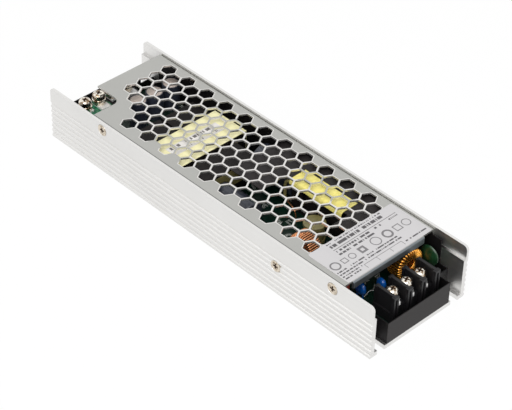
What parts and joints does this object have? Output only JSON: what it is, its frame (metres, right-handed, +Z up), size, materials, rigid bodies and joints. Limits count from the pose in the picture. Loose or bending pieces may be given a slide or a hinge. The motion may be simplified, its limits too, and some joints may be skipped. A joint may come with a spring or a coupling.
{
  "type": "enclosed switching power supply",
  "caption": "Slim enclosed power supply: ribbed aluminium channel, honeycomb steel cover and screw terminals at its open ends.",
  "frame": {"origin": "centre of the base plate's underside", "axes": "+X along the length towards the mains input terminals, +Y across the width, +Z up from the base"},
  "size_m": [0.194, 0.055, 0.026],
  "materials": {
    "case_metal": "satin, fine-blasted",
    "cover_steel": "zinc-coated sheet, satin",
    "label_paper": "satin",
    "screw_nickel": "nickel plate",
    "tinned_metal": "bright tin",
    "film_black": "satin film",
    "board_green": "solder mask",
    "board_dark": "dark solder mask",
    "block_black": "moulded",
    "tape_yellow": "film tape",
    "tape_pale": "film tape",
    "tape_olive": "film tape",
    "wire_gold": "enamelled wire",
    "wire_copper": "enamelled wire",
    "ferrite": "matte ferrite",
    "core_green": "coated core",
    "varistor_green": "epoxy coat",
    "disc_blue": "epoxy coat",
    "fuse_red": "moulded",
    "film_capacitor": "moulded",
    "sleeve_dark": "shrink sleeve",
    "can_metal": "drawn can",
    "slip_white": "matte",
    "pad_grey": "soft pad",
    "chip_black": "moulded"
  },
  "bodies": {
    "root": {"chassis": "case_metal", "top_cover": "cover_steel", "rating_label": "label_paper", "cover_screws": "screw_nickel", "clamp_screw": "screw_nickel", "insulation_tray": "film_black", "insulation_flap": "film_black", "flap_tape": "tape_yellow", "circuit_board": "board_dark", "board_pillars": "tinned_metal", "board_screws": "screw_nickel", "input_block": "block_black", "input_contacts": "tinned_metal", "input_clamps": "screw_nickel", "input_screws": "screw_nickel", "output_block": "block_black", "output_board": "board_green", "output_nuts": "screw_nickel", "output_lugs": "tinned_metal", "output_washers": "screw_nickel", "output_screws": "screw_nickel", "choke_core": "core_green", "choke_windings": "wire_gold", "varistor": "varistor_green", "blue_capacitors": "disc_blue", "input_fuse": "fuse_red", "x_capacitor": "film_capacitor", "bridge_rectifier": "chip_black", "rectifier_pad": "pad_grey", "rectifier_clamp": "tinned_metal", "ring_core": "core_green", "ring_winding": "wire_copper", "drum_inductor": "tape_olive", "transformer_core": "ferrite", "transformer_winding": "tape_olive", "transformer_tape": "tape_pale", "transformer_label": "slip_white", "aux_core": "ferrite", "aux_tape": "tape_olive", "boost_choke": "ferrite", "output_choke": "ferrite", "bulk_capacitor": "sleeve_dark", "aux_capacitor": "sleeve_dark", "output_capacitors": "can_metal", "control_board": "board_green", "control_chips": "chip_black", "switch_transistors": "chip_black", "thermal_pads": "pad_grey"}
  },
  "joints": []
}
